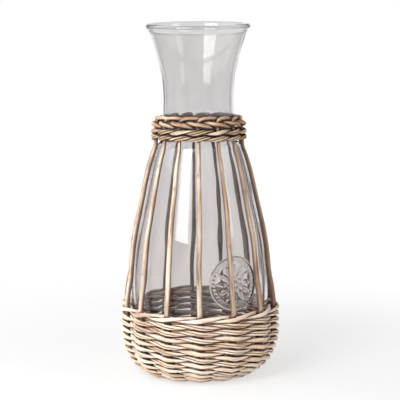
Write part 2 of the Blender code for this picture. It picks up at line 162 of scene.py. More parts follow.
def rowPlace(row):  # rows up to 0 are the base's, then come the corner and the upright wall
    run = row * rowPitch
    if run <= 0:
        radius = wickerShape["footRadius"] + run
        return radius, baseHeight(radius), Vector((0, -1))
    if run >= cornerRun[-1]:
        return wallRadius, wallStart + run - cornerRun[-1], Vector((1, 0))
    i = next(k for k, length in enumerate(cornerRun) if length >= run)
    share = (run - cornerRun[i - 1]) / (cornerRun[i] - cornerRun[i - 1])
    return cornerPlace((i - 1 + share) / cornerSteps * math.pi / 2)


basketTop = max(rowPlace(wickerShape["sideRows"])[1], wallStart) + rowPitch / 2
leanTop = basketTop + wickerShape["leanHeight"]
collarStart = levels[glassShape["shoulderLevel"]][0] + wickerShape["collarRise"]
collarEnd = collarStart + (wickerShape["collarRows"] - 1) * collarPitch
collarFoot = collarStart - wickerShape["collarDrop"] - wickerShape["collarWeaver"] / 2
collarInside = glassRadius(collarFoot) + wickerShape["fit"] + wickerShape["collarWeaver"] / 2
collarRadius = collarInside + collarSwing(collarInside)[0]
leadFoot = collarStart - wickerShape["collarLead"]
borderSpacing = wickerShape["rodTip"] + wickerShape["borderGap"]
borderHeight = collarEnd + wickerShape["borderRise"]
borderFoot = borderHeight - wickerShape["borderFootDrop"] * borderSpacing
behindBorder = glassRadius(borderHeight - wickerShape["collarDrop"])
borderRadius = behindBorder + wickerShape["fit"] + wickerShape["rodTip"] / 2


def ramp(value, low, high):
    return min(max((value - low) / (high - low), 0), 1)


def rodRadius(height):
    share = ramp(height, basketTop, collarStart - wickerShape["collarDrop"])
    return 0.5 * (wickerShape["rod"] + (wickerShape["rodTip"] - wickerShape["rod"]) * share)


def borderPlace(turns):
    i = 0
    while i < len(borderPlaces) - 2 and turns > borderPlaces[i + 1][0]:
        i += 1
    (start, startOut, startUp), (end, endOut, endUp) = borderPlaces[i], borderPlaces[i + 1]
    share = (turns - start) / (end - start)
    out = startOut + (endOut - startOut) * share
    up = startUp + (endUp - startUp) * share
    return borderRadius + borderSpacing * out, borderHeight + borderSpacing * up


def stakeRadius(height):
    hug = glassRadius(height) + wickerShape["fit"] + rodRadius(height)
    if height < collarStart:
        onGlass = wallRadius + (hug - wallRadius) * ramp(height, basketTop, leanTop)
        return onGlass + (collarRadius - onGlass) * ramp(height, leadFoot, collarStart)
    top = collarEnd + wickerShape["collarWeaver"] / 2
    return collarRadius + (borderPlace(0.0)[0] - collarRadius) * ramp(height, top, borderFoot)


# Azimuth runs from the front towards +X, and the collar leans down to the back
def at(radius, azimuth, height):
    backward = (1 - math.cos(azimuth)) / 2
    turned = azimuth + backDrift * backward
    inCollar = ramp(height, leadFoot, collarStart - wickerShape["collarWeaver"])
    level = height - wickerShape["collarDrop"] * backward * inCollar
    return Vector((radius * math.sin(turned), -radius * math.cos(turned), level))


print("sizes ready: glass foot at", round(glassBottom, 1), "mm")


def setOut(name, data):  # a new object in the scene
    thing = bpy.data.objects.new(name, data)
    bpy.context.scene.collection.objects.link(thing)
    return thing


# Node helpers for the materials
def node(tree, kind, **settings):
    made = tree.nodes.new(kind)
    for key, value in settings.items():
        if key.startswith("in_"):
            made.inputs[int(key[3:])].default_value = value
        else:
            setattr(made, key, value)
    return made


def join(tree, source, target):
    tree.links.new(source.outputs[0], target.inputs[0])
    return target


def blankMaterial(name):
    material = bpy.data.materials.new(name)
    material.use_nodes = True
    material.node_tree.nodes.clear()
    return material, material.node_tree


def painted(tree, name):  # a value that the mesh carries at each of its points
    return node(tree, "ShaderNodeAttribute", attribute_name=name).outputs["Fac"]


def mathNode(tree, operation, *values):  # each is a socket or a plain number
    done = node(tree, "ShaderNodeMath", operation=operation)
    for socket, value in zip(done.inputs, values):
        if isinstance(value, float):
            socket.default_value = value
        else:
            tree.links.new(value, socket)
    return done.outputs[0]


def mixColor(tree, first, second, share, blend="MIX"):  # each is a socket or a plain colour
    mixed = node(tree, "ShaderNodeMix", data_type="RGBA", blend_type=blend)
    tree.links.new(share, mixed.inputs[0])
    for socket, value in ((mixed.inputs[6], first), (mixed.inputs[7], second)):
        if isinstance(value, tuple):
            socket.default_value = (*value, 1)
        else:
            tree.links.new(value, socket)
    return mixed.outputs[2]


def remap(tree, source, low, high, toLow, toHigh):
    mapped = node(tree, "ShaderNodeMapRange", in_1=low, in_2=high, in_3=toLow, in_4=toHigh)
    tree.links.new(source, mapped.inputs[0])
    return mapped.outputs[0]


def shadeRamp(tree, source, places, lowColor, highColor):
    shades = node(tree, "ShaderNodeValToRGB")
    tree.links.new(source, shades.inputs[0])
    for stop, place, color in zip(shades.color_ramp.elements, places, (lowColor, highColor)):
        stop.position = place
        stop.color = (*color, 1)
    return shades


def roughen(tree, shader, height, strength, depth):
    bump = node(tree, "ShaderNodeBump")
    bump.inputs["Strength"].default_value = strength
    bump.inputs["Distance"].default_value = depth
    tree.links.new(height, bump.inputs["Height"])
    tree.links.new(bump.outputs[0], shader.inputs["Normal"])


def mixShaders(tree, share, first, second):  # the mix is what the material shows
    mixed = node(tree, "ShaderNodeMixShader")
    tree.links.new(share, mixed.inputs[0])
    tree.links.new(first.outputs[0], mixed.inputs[1])
    tree.links.new(second.outputs[0], mixed.inputs[2])
    join(tree, mixed, node(tree, "ShaderNodeOutputMaterial"))


# Dark, middle and pale streaks, then grey weathering, painted shade on the inner side and edges, knots,
# the old top, painted shade browning the right side, painted shade deep in the weave, and its patches.
# Where the shade deep in the weave and on the inner side begins and is full is given as what the
# crevice and facing values say there.
willowLooks = {
    "willowRod": {
        "colors": ((0.28, 0.165, 0.10), (0.71, 0.53, 0.39), (1.0, 0.86, 0.70)),
        "grey": (0.54, 0.45, 0.37), "inside": (0.17, 0.105, 0.08), "knot": (0.26, 0.15, 0.09),
        "aged": (0.82, 0.62, 0.45), "rightShade": (0.57, 0.47, 0.40), "creviceShadeColor": (0.13, 0.07, 0.05),
        "patch": (0.70, 0.60, 0.52), "crevices": (0.06, 0.28), "sides": (0.80, 0.10), "roughness": 0.5,
    },
    "willowWeaver": {
        "colors": ((0.48, 0.30, 0.195), (0.97, 0.76, 0.57), (1.0, 0.90, 0.775)),
        "grey": (0.80, 0.69, 0.59), "inside": (0.60, 0.45, 0.38), "knot": (0.30, 0.16, 0.08),
        "aged": (1.0, 1.0, 1.0), "rightShade": (0.95, 0.91, 0.88), "creviceShadeColor": (0.22, 0.125, 0.09),
        "patch": (0.80, 0.67, 0.57), "crevices": (0.10, 0.34), "sides": (0.35, -0.45), "roughness": 0.55,
    },
    "willowCollar": {
        "colors": ((0.12, 0.058, 0.032), (0.70, 0.49, 0.31), (1.0, 0.90, 0.72)),
        "grey": (0.46, 0.34, 0.25), "inside": (0.08, 0.05, 0.035), "knot": (0.12, 0.055, 0.025),
        "aged": (1.0, 1.0, 1.0), "rightShade": (0.72, 0.61, 0.52), "creviceShadeColor": (0.06, 0.03, 0.018),
        "patch": (0.50, 0.38, 0.30), "crevices": (0.055, 0.26), "sides": (0.5, -0.4), "roughness": 0.5,
    },
}
willowGrain = {
    # each noise's scale along and round the strand (the third has no effect), its detail and roughness
    "streaks": ((25, 650, 1), 5.0, 0.65), "tone": ((24, 60, 1), 2.0, 0.5),
    "patches": ((75, 420, 9), 2.0, 0.6), "weather": ((7, 90, 5), 3.0, 0.6),
    # a noise between the first two values gives what lies between the last two
    "toneShift": (0.0, 1.0, -0.19, 0.47), "weathered": (0.5, 0.7, 0.0, 0.6),
    "agedPatches": (0.36, 0.60, 0.25, 1.0), "darkPatches": (0.48, 0.70, 0.0, 1.0),
    "streakShare": 0.75, "colorPlaces": (0.35, 0.59), "middlePlace": 0.46,
    "insideShadeShare": 0.92, "creviceShadeShare": 0.95, "smoother": 0.1, "rougher": 0.15,
    "shine": 0.35, "bump": 0.5, "bumpDepth": 0.0004,
}


def noiseAlong(tree, coords, scale, detail, roughness):  # noise on the strand's own length and girth
    stretched = join(tree, coords, node(tree, "ShaderNodeMapping"))
    stretched.inputs["Scale"].default_value = scale
    grain = join(tree, stretched, node(tree, "ShaderNodeTexNoise"))
    grain.inputs["Scale"].default_value = 1.0
    grain.inputs["Detail"].default_value = detail
    grain.inputs["Roughness"].default_value = roughness
    return grain.outputs[0]


def willow(name):  # peeled willow: streaks along the rod, slow changes of tone, dark knots, and painted shade on the inner side, the right side and in the crevices
    look = willowLooks[name]
    material, tree = blankMaterial(name)
    coords = node(tree, "ShaderNodeUVMap", uv_map="UVMap")
    streaks, tone, patches, weather = [
        noiseAlong(tree, coords, *willowGrain[kind]) for kind in ("streaks", "tone", "patches", "weather")
    ]
    shift = remap(tree, tone, *willowGrain["toneShift"])
    blend = mathNode(tree, "MULTIPLY_ADD", streaks, willowGrain["streakShare"], shift)
    dark, middle, pale = look["colors"]
    shades = shadeRamp(tree, blend, willowGrain["colorPlaces"], dark, pale)
    shades.color_ramp.elements.new(willowGrain["middlePlace"]).color = (*middle, 1)
    weathered = remap(tree, weather, *willowGrain["weathered"])
    color = mixColor(tree, shades.outputs[0], look["grey"], weathered)
    agedPatches = remap(tree, patches, *willowGrain["agedPatches"])
    agedHere = mathNode(tree, "MULTIPLY", painted(tree, "aged"), agedPatches)
    color = mixColor(tree, color, look["aged"], agedHere, "MULTIPLY")
    darkPatches = remap(tree, patches, *willowGrain["darkPatches"])
    color = mixColor(tree, color, look["patch"], darkPatches, "MULTIPLY")
    # painted shade: the right side, away from the light, turns darker and browner
    color = mixColor(tree, color, look["rightShade"], painted(tree, "rightShade"), "MULTIPLY")
    # painted shade: strands darken towards their inner side and their edges, where less light falls
    innerSideShade = remap(tree, painted(tree, "facing"), *look["sides"], 0.0, willowGrain["insideShadeShare"])
    color = mixColor(tree, color, look["inside"], innerSideShade)
    # painted shade: darker and browner deep in the weave's crevices, where little light reaches
    creviceShadeHere = remap(tree, painted(tree, "creviceShade"), *look["crevices"], 0.0, willowGrain["creviceShadeShare"])
    color = mixColor(tree, color, look["creviceShadeColor"], creviceShadeHere, "MULTIPLY")
    color = mixColor(tree, color, look["knot"], painted(tree, "knotShade"))
    shader = node(tree, "ShaderNodeBsdfPrincipled")
    tree.links.new(color, shader.inputs["Base Color"])
    smooth = look["roughness"] - willowGrain["smoother"]
    rough = look["roughness"] + willowGrain["rougher"]
    tree.links.new(remap(tree, streaks, 0.0, 1.0, smooth, rough), shader.inputs["Roughness"])
    shader.inputs["Specular IOR Level"].default_value = willowGrain["shine"]
    roughen(tree, shader, streaks, willowGrain["bump"], willowGrain["bumpDepth"])
    join(tree, shader, node(tree, "ShaderNodeOutputMaterial"))
    return material


glassLook = {
    "tint": (0.83, 0.817, 0.819), "thickTint": (0.75, 0.738, 0.74), "tintPlaces": (0.25, 0.6),
    # the darkest tint: for the thicker lip and neck, and painted shade on the glass behind the collar
    "thickAndShadedTint": (0.24, 0.205, 0.185), "bodyTint": (1.0, 0.978, 0.966), "bodyTop": 0.20, "bodyStart": 0.15,
    "shade": 0.62,  # how much lamplight passes each surface
    "roughness": 0.0, "ior": 1.5, "ripple": 0.12, "rippleDepth": 0.002,
    "rippleScale": 38.0, "rippleDetail": 1.5, "rippleStretch": (1, 1, 0.45),
}


def clearGlass():  # pressed glass: clear, a little grey, with a soft ripple
    material, tree = blankMaterial("clearGlass")
    onCarafe = node(tree, "ShaderNodeTexCoord").outputs["Object"]
    stretched = node(tree, "ShaderNodeMapping")
    tree.links.new(onCarafe, stretched.inputs[0])
    stretched.inputs["Scale"].default_value = glassLook["rippleStretch"]
    grain = join(tree, stretched, node(tree, "ShaderNodeTexNoise"))
    grain.inputs["Scale"].default_value = glassLook["rippleScale"]
    grain.inputs["Detail"].default_value = glassLook["rippleDetail"]
    ripple = grain.outputs[0]
    tint = shadeRamp(tree, ripple, glassLook["tintPlaces"], glassLook["thickTint"], glassLook["tint"])
    axes = node(tree, "ShaderNodeSeparateXYZ")
    tree.links.new(onCarafe, axes.inputs[0])
    body = remap(tree, axes.outputs[2], glassLook["bodyTop"], glassLook["bodyStart"], 0.0, 1.0)
    color = mixColor(tree, tint.outputs[0], glassLook["bodyTint"], body, "MULTIPLY")
    # darker for thicker glass at the lip and neck, and painted shade where the glass lies behind the collar
    color = mixColor(tree, color, glassLook["thickAndShadedTint"], painted(tree, "thickAndShaded"))
    shader = node(tree, "ShaderNodeBsdfPrincipled")
    tree.links.new(color, shader.inputs["Base Color"])
    shader.inputs["Roughness"].default_value = glassLook["roughness"]
    shader.inputs["IOR"].default_value = glassLook["ior"]
    shader.inputs["Transmission Weight"].default_value = 1.0
    roughen(tree, shader, ripple, glassLook["ripple"], glassLook["rippleDepth"])
    through = node(tree, "ShaderNodeBsdfTransparent")
    through.inputs[0].default_value = (*[glassLook["shade"]] * 3, 1)
    shadowRay = node(tree, "ShaderNodeLightPath").outputs["Is Shadow Ray"]
    mixShaders(tree, shadowRay, shader, through)
    return material


glassFinish = clearGlass()
rodFinish = willow("willowRod")
weaverFinish = willow("willowWeaver")
collarFinish = willow("willowCollar")
print("materials ready")


def dress(piece, finish, slotName, *nodes):
    piece.data.materials.clear()
    piece.data.materials.append(finish)
    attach(piece, "root")
    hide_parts(*nodes)
    return piece


# The glass: one section spun round, finely where the rosette is pressed
rosette = {
    "azimuth": 30.5, "height": 87.0, "ringRadius": 21.6, "ringWidth": 1.0, "ringProud": 1.5,
    "innerRadius": 17.9, "innerWidth": 0.7, "innerProud": 0.6,
    "beads": 36, "beadRadius": 19.6, "beadWidth": 1.25, "beadProud": 0.9,
    "petalCount": 12, "petalInner": 7.4, "petalOuter": 17.0, "petalWidth": 2.1, "petalProud": 1.6,
    "leafCount": 8, "leafInner": 2.6, "leafOuter": 8.6, "leafWidth": 1.7, "leafProud": 1.3,
    "tipEase": 0.8, "grooveDepth": 0.6, "grooveSteepness": 2.2, "fullWidth": 1.2,
    "buttonRadius": 2.6, "buttonProud": 1.2,
}
glassMesh = {
    "fineAngle": 50.0, "fineSteps": 116, "restSteps": 132, "fineRise": 0.5, "fineMargin": 2.0, "rise": 2.6,
    "beadSteps": 16, "heelSteps": 12, "ridgeSamples": 8, "pushUpShares": (0.25, 0.5, 0.75),
    "mergeDistance": 0.01,
}
glassWaves = {  # what makes the glass uneven, in millimetres
    "outerWave": 0.12, "outerSeed": 7.0, "innerWave": 0.30, "innerSeed": 31.0, "waveLengths": (21, 46),
    "streak": 0.05, "streakLengths": (6, 60), "ridge": 1.2, "ridgeHeight": 220.3, "ridgeWidth": 4.6,
    "marks": ((-13.5, 4.5), (2.0, 6.5)), "markHeight": 226.0, "markWidth": 2.8, "markDepth": 1.2,
}
thickAndShadedGlass = {  # how much darker the thick lip and the neck are, how strong the painted shade on the glass inside the collar is, and over what height
    "lip": 0.16, "lipHeight": 5.0, "neck": 0.07, "neckHeight": 20.0,
    "collar": 0.95, "collarWidth": 12.0, "aboveCollar": 3.0, "lessTilt": 1.0,
}


def bell(distance, width):  # a smooth ridge, 1 on its line and 0 from this far out
    t = min(abs(distance) / width, 1)
    return (1 - t * t) ** 2


# A ring of petals, each with a groove down its middle
def petalProud(radius, turn, count, inner, outer, width, proud):
    length = (radius - inner) / (outer - inner)
    if not 0 < length < 1:
        return 0.0
    spacing = 2 * math.pi / count
    aside = abs((turn + spacing / 2) % spacing - spacing / 2) * radius
    halfWidth = width * math.sin(math.pi * length ** rosette["tipEase"]) + 0.01
    side = min(aside / halfWidth, 1)
    groove = 1 - rosette["grooveDepth"] + rosette["grooveDepth"] * min(side * rosette["grooveSteepness"], 1)
    return proud * (1 - side ** 3) * groove * min(halfWidth / rosette["fullWidth"], 1)


def rosetteProud(across, up):
    radius = math.hypot(across, up)
    if radius > rosette["ringRadius"] + rosette["ringWidth"]:
        return 0.0
    turn = math.atan2(up, across)
    proud = rosette["ringProud"] * bell(radius - rosette["ringRadius"], rosette["ringWidth"])
    proud += rosette["innerProud"] * bell(radius - rosette["innerRadius"], rosette["innerWidth"])
    beadAngle = 2 * math.pi / rosette["beads"]
    offBead = (turn + beadAngle / 2) % beadAngle - beadAngle / 2
    fromBead = math.hypot(radius - rosette["beadRadius"], offBead * radius)
    proud += rosette["beadProud"] * bell(fromBead, rosette["beadWidth"])
    for kind, turned in (("petal", turn), ("leaf", turn + math.pi / rosette["leafCount"])):
        size = [rosette[kind + part] for part in ("Count", "Inner", "Outer", "Width", "Proud")]
        proud += petalProud(radius, turned, *size)
    proud += rosette["buttonProud"] * math.sqrt(max(1 - (radius / rosette["buttonRadius"]) ** 2, 0))
    return proud


def arc(middle, semiAxes, start, end, steps):
    spots = []
    for i in range(steps + 1):
        angle = start + (end - start) * i / steps
        spots.append((middle[0] + semiAxes[0] * math.cos(angle), middle[1] + semiAxes[1] * math.sin(angle)))
    return spots


def heightsBetween(low, high, rise):
    count = max(round((high - low) / rise), 1)
    return [low + (high - low) * i / count for i in range(1, count + 1)]


def glassSection():  # from the middle of the floor up the inside, over the lip and down the outside
    wall, bead, flat = glassShape["wall"], glassShape["beadRadius"], glassShape["flatRadius"]
    pushUp, pushUpRadius = glassShape["pushUp"], glassShape["pushUpRadius"]
    heel, lip = levels[0][0], levels[-1][0]
    heelReach, heelSteps = levels[0][1] - flat, glassMesh["heelSteps"]
    inner = [(0, glassBottom + pushUp + glassShape["floor"])]
    for share in glassMesh["pushUpShares"]:
        fall = pushUp * (1 - math.cos(math.pi * share)) / 2
        inner.append((pushUpRadius * share, inner[0][1] - fall))
    innerAxes = (heelReach, heel - glassBottom - glassShape["floor"])
    innerHeel = arc((flat - wall, heel), innerAxes, -math.pi / 2, 0, heelSteps)
    ridge, ridgeReach = glassWaves["ridgeHeight"], glassWaves["ridgeWidth"]
    samples = glassMesh["ridgeSamples"]
    rising = [z for z in heightsBetween(heel, lip, glassMesh["rise"]) if abs(z - ridge) > ridgeReach]
    rising += [ridge + ridgeReach * i / samples for i in range(-samples, samples + 1)]
    rising.sort()
    inside = [(glassRadius(z) - wall, z) for z in rising[:-1]]
    lipMiddle = (glassShape["radii"][-1], lip + bead)
    lipBead = arc(lipMiddle, (bead, bead), math.pi, -math.pi / 3, glassMesh["beadSteps"])
    fineLow = rosette["height"] - rosette["ringRadius"] - glassMesh["fineMargin"]
    fineHigh = rosette["height"] + rosette["ringRadius"] + glassMesh["fineMargin"]
    outsideHeights = heightsBetween(heel, fineLow, glassMesh["rise"])
    outsideHeights += heightsBetween(fineLow, fineHigh, glassMesh["fineRise"])
    outsideHeights += heightsBetween(fineHigh, lip, glassMesh["rise"])[:-1]
    outside = [(glassRadius(z), z) for z in reversed(outsideHeights)]
    outerHeel = arc((flat, heel), (heelReach, heel - glassBottom), 0, -math.pi / 2, heelSteps)
    under = [(pushUpRadius, glassBottom)]
    for share in (*reversed(glassMesh["pushUpShares"]), 0):
        climb = pushUp * (1 + math.cos(math.pi * share)) / 2
        under.append((pushUpRadius * share, glassBottom + climb))
    return inner + innerHeel + inside + lipBead + outside + outerHeel + under


def glassNoise(spot, across, upright, seed):
    return noise.noise(Vector((spot.x / across, spot.y / across, spot.z / upright + seed)))


def glassPush(spot, outer):  # how far the uneven surface stands out from the plain one
    side = "outer" if outer else "inner"
    seed = glassWaves[side + "Seed"]
    push = glassWaves[side + "Wave"] * glassNoise(spot, *glassWaves["waveLengths"], seed)
    push += glassWaves["streak"] * glassNoise(spot, *glassWaves["streakLengths"], seed)
    if outer:
        middle = math.radians(rosette["azimuth"] - 90)
        angle = (math.atan2(spot.y, spot.x) - middle + math.pi) % (2 * math.pi) - math.pi
        return push + rosetteProud(angle * glassRadius(rosette["height"]), spot.z - rosette["height"])
    push -= glassWaves["ridge"] * bell(spot.z - glassWaves["ridgeHeight"], glassWaves["ridgeWidth"])
    if spot.y > 0:
        mark = sum(bell(spot.x - across, width) for across, width in glassWaves["marks"])
        level = bell(spot.z - glassWaves["markHeight"], glassWaves["markWidth"])
        push -= glassWaves["markDepth"] * mark * level
    return push


def makeGlass():
    shape = bmesh.new()
    fine = math.radians(glassMesh["fineAngle"])
    start = math.radians(rosette["azimuth"] - 90) - fine / 2
    spots = [shape.verts.new((r * math.cos(start), r * math.sin(start), z)) for r, z in glassSection()]
    edges = [shape.edges.new(pair) for pair in zip(spots, spots[1:])]
    axle = {"cent": (0, 0, 0), "axis": (0, 0, 1)}
    turned = bmesh.ops.spin(shape, geom=spots + edges, angle=fine, steps=glassMesh["fineSteps"], **axle)
    rest = 2 * math.pi - fine
    bmesh.ops.spin(shape, geom=turned["geom_last"], angle=rest, steps=glassMesh["restSteps"], **axle)
    bmesh.ops.remove_doubles(shape, verts=shape.verts, dist=glassMesh["mergeDistance"])
    bmesh.ops.recalc_face_normals(shape, faces=shape.faces)
    for spot in shape.verts:
        if not levels[0][0] <= spot.co.z < levels[-1][0]:
            continue
        radius = math.hypot(spot.co.x, spot.co.y)
        outer = radius > glassRadius(spot.co.z) - glassShape["wall"] / 2
        growth = (radius + glassPush(spot.co, outer)) / radius
        spot.co.x *= growth
        spot.co.y *= growth
    bmesh.ops.scale(shape, vec=(mm, mm, mm), verts=shape.verts)
    for face in shape.faces:
        face.smooth = True
    mesh = bpy.data.meshes.new("carafeGlass")
    shape.to_mesh(mesh)
    shape.free()
    # darker at the thick lip and up the neck, and painted shade in a band behind the collar, lower at the
    # back
    thickAndShaded = mesh.attributes.new("thickAndShaded", "FLOAT", "POINT")
    for i, spot in enumerate(mesh.vertices):
        height = spot.co.z / mm
        backward = 0.5 + 0.5 * spot.co.y / max(math.hypot(spot.co.x, spot.co.y), mm)
        tilt = wickerShape["collarDrop"] - thickAndShadedGlass["lessTilt"]
        fromCollar = height - collarEnd - thickAndShadedGlass["aboveCollar"] + tilt * backward
        neck = thickAndShadedGlass["neck"] * ramp(height, borderHeight, borderHeight + thickAndShadedGlass["neckHeight"])
        lip = thickAndShadedGlass["lip"] * ramp(height, levels[-1][0] - thickAndShadedGlass["lipHeight"], levels[-1][0])
        thickAndShaded.data[i].value = neck + lip + thickAndShadedGlass["collar"] * bell(fromCollar, thickAndShadedGlass["collarWidth"])
    return setOut("carafeGlass", mesh)


glass = dress(makeGlass(), glassFinish, "clear_glass", "glass_carafe")
print("glass ready:", len(glass.data.polygons), "faces")


# Strands: a willow section carried along a path, with its own thickness at each point
strandShades = {  # in millimetres: a knot's dark reach, the carafe's heart, where strands age and take painted shade on the right
    "knotReach": 3.0, "knotEase": 1.5, "heart": (60.0, 200.0),
    "aged": (188.0, 212.0), "rightShade": (-38.0, 60.0), "mergeDistance": 0.002,
}
noiseLanes = {  # each change along a strand reads its own lane of the noise
    "wander": 0.5, "bulge": 8.5, "weaverThickness": 3.5, "firstKnot": 0.5, "sway": 2.5, "lift": 5.5,
    "rodThickness": 9.5, "knotGap": 4.5, "knotSide": 6.5,
}


def drift(place, seed, lane):
    return noise.noise(Vector((place, seed, noiseLanes[lane])))


def roundSection(across, upright, sides):  # the pattern's seam lies on the inner side
    turns = [2 * math.pi * i / sides + math.pi for i in range(sides)]
    return [(across * math.cos(turn), upright * math.sin(turn)) for turn in turns]


def sectionCurve(name, outline):
    curve = bpy.data.curves.new(name, "CURVE")
    curve.dimensions = "2D"
    spline = curve.splines.new("POLY")
    spline.points.add(len(outline) - 1)
    spline.use_cyclic_u = True
    for spot, (across, upright) in zip(spline.points, outline):
        spot.co = (across, upright, 0, 1)
    return setOut(name, curve)


def shadeStrand(mesh, knots):  # the values that the willow's colours follow
    kinds = ("knotShade", "facing", "aged", "rightShade")
    for kind in kinds:
        mesh.attributes.new(kind, "FLOAT", "POINT")
    knotShade, facing, aged, rightShade = (mesh.attributes[kind].data for kind in kinds)
    heartLow, heartHigh = strandShades["heart"]
    for i, spot in enumerate(mesh.vertices):
        near = min(((spot.co - knot * mm).length for knot in knots), default=1.0)
        dark = max(0.0, 1 - near / (strandShades["knotReach"] * mm))
        knotShade[i].value = dark ** strandShades["knotEase"]
        heart = Vector((0, 0, min(max(spot.co.z, heartLow * mm), heartHigh * mm)))
        # how far a spot turns outward, which sets the painted shade on inner sides and edges
        facing[i].value = spot.normal.dot((spot.co - heart).normalized())
        aged[i].value = ramp(spot.co.z / mm, *strandShades["aged"])
        # painted shade: how far to the right, into the shade, a spot lies
        rightShade[i].value = ramp(spot.co.x / mm, *strandShades["rightShade"])


def makeStrand(name, section, points, radii, tilts, twistMode, shift, knots=(), cutFlat=False):
    curve = bpy.data.curves.new(name, "CURVE")
    curve.dimensions = "3D"
    curve.twist_mode = twistMode
    curve.bevel_mode = "OBJECT"
    curve.bevel_object = section
    curve.use_fill_caps = True
    spline = curve.splines.new("POLY")
    spline.points.add(len(points) - 1)
    for spot, place, radius, tilt in zip(spline.points, points, radii, tilts):
        spot.co = (*(place * mm), 1)
        spot.radius = radius * mm
        spot.tilt = tilt
    guide = setOut(name + "Guide", curve)
    bpy.context.view_layer.update()
    mesh = bpy.data.meshes.new_from_object(guide.evaluated_get(bpy.context.evaluated_depsgraph_get()))
    bpy.data.objects.remove(guide)
    length = sum((b - a).length for a, b in zip(points, points[1:])) * mm
    girth = 2 * math.pi * max(radii) * mm
    for loop in mesh.uv_layers["UVMap"].data:  # real lengths, each strand on its own stretch of the pattern
        loop.uv = (loop.uv[0] * length + shift, loop.uv[1] * girth)
    shape = bmesh.new()
    shape.from_mesh(mesh)
    bmesh.ops.remove_doubles(shape, verts=shape.verts, dist=strandShades["mergeDistance"] * mm)
    if cutFlat:
        parts = list(shape.verts) + list(shape.edges) + list(shape.faces)
        bmesh.ops.bisect_plane(shape, geom=parts, plane_co=(0, 0, 0), plane_no=(0, 0, -1), clear_outer=True)
        bmesh.ops.holes_fill(shape, edges=[edge for edge in shape.edges if edge.is_boundary])
    bmesh.ops.recalc_face_normals(shape, faces=shape.faces)
    for face in shape.faces:
        face.smooth = len(face.verts) > 3
    shape.to_mesh(mesh)
    shape.free()
    shadeStrand(mesh, knots)
    mesh.name = name
    return setOut(name, mesh)


weaverLook = {
    "uprights": (1.36, 1.48, 1.6), "sides": 12, "samplesPerStake": 12, "crisp": 0.985,
    "crossingNarrow": 0.87, "crossingTurn": 55.0, "crossingEase": 0.85,
    "wander": 0.35, "wanderPace": 0.9, "bulge": 0.12, "bulgePace": 1.7,
    "thicknessChange": 0.1, "thicknessPace": 0.6,
    "sideSeeds": (2.7, 11), "collarSeeds": (3.1, 71), "strandSeed": 17.3,
    "sectionSteps": (5, 2), "patternShifts": (0.37, 0.9),
}
twinLook = {
    "across": 0.86, "upright": 1.55, "sides": 9, "starts": (105, -75), "sweep": 330,
    "apart": 0.49, "size": 0.51,
}
doubledStrands = (
    "sideRow03b", "sideRow05b", "sideRow06a", "sideRow07a", "sideRow08b", "sideRow09a", "sideRow10a",
    "sideRow10b", "sideRow11a", "sideRow11b", "collarRow1a", "collarRow1b", "collarRow2b",
)


def twinSection():  # two thin strands, one on the other
    spots = []
    for side, start in zip((-1, 1), twinLook["starts"]):
        for i in range(twinLook["sides"] + 1):
            turn = math.radians(start + twinLook["sweep"] * i / twinLook["sides"])
            up = twinLook["apart"] * side + twinLook["size"] * math.sin(turn)
            spots.append((twinLook["across"] * math.cos(turn), twinLook["upright"] * up))
    return spots


weaverSections = [
    sectionCurve(f"weaverSection{i}", roundSection(1.0, upright, weaverLook["sides"]))
    for i, upright in enumerate(weaverLook["uprights"])
]
twinStrand = sectionCurve("twinSection", twinSection())


def weaverPath(place, reach, fullness, crossing, twist, start, seed):
    inside, outside = reach
    radius, height, normal = place
    along = Vector((-normal.y, normal.x))
    tuck = wickerShape["endTuck"] / radius / stakeAngle
    count = stakeCount * weaverLook["samplesPerStake"]
    crisp = weaverLook["crisp"]
    points, widths, turnings = [], [], []
    for i in range(count + 1):
        turns = tuck + (stakeCount - 2 * tuck) * i / count
        wave = math.asin(-crisp * math.cos(math.pi * turns)) / math.asin(crisp)
        lift = math.sin(math.pi * turns)
        out = fullness + wave * (outside - fullness if wave > 0 else inside + fullness)
        out += weaverLook["bulge"] * drift(turns * weaverLook["bulgePace"], seed, "bulge")
        up = -twist * crossing * math.copysign(abs(lift) ** weaverLook["crossingEase"], lift)
        up += weaverLook["wander"] * drift(turns * weaverLook["wanderPace"], seed, "wander")
        across = radius + out * normal.x + up * along.x
        level = height + out * normal.y + up * along.y
        points.append(at(across, (start + turns) * stakeAngle, level))
        uneven = drift(turns * weaverLook["thicknessPace"], seed, "weaverThickness")
        thick = 1 + weaverLook["thicknessChange"] * uneven
        widths.append(thick * (1 - (1 - weaverLook["crossingNarrow"]) * lift * lift))
        turnings.append(math.radians(weaverLook["crossingTurn"]) * lift * abs(lift) * twist)
    return points, widths, turnings


def makePair(name, place, reach, fullness, size, twist, start, seed):
    crossing = (size + wickerShape["weaveGap"]) / 2
    tilt = math.atan2(-place[2].y, place[2].x)
    rowStep, strandStep = weaverLook["sectionSteps"]
    rowShift, strandShift = weaverLook["patternShifts"]
    pair = []
    for number, letter in enumerate("ab"):
        strandSeed = seed + weaverLook["strandSeed"] * number
        path = weaverPath(place, reach, fullness, crossing, twist, start + number, strandSeed)
        points, widths, turnings = path
        radii = [size / 2 * width for width in widths]
        tilts = [tilt + turning for turning in turnings]
        section = weaverSections[int(seed * rowStep + number * strandStep) % len(weaverSections)]
        if name + letter in doubledStrands:
            section = twinStrand
        strand = makeStrand(
            name + letter.upper(), section, points, radii, tilts, "Z_UP",
            seed * rowShift + number * strandShift, cutFlat=name == "footRing",
        )
        pair.append((strand, letter))
    return pair


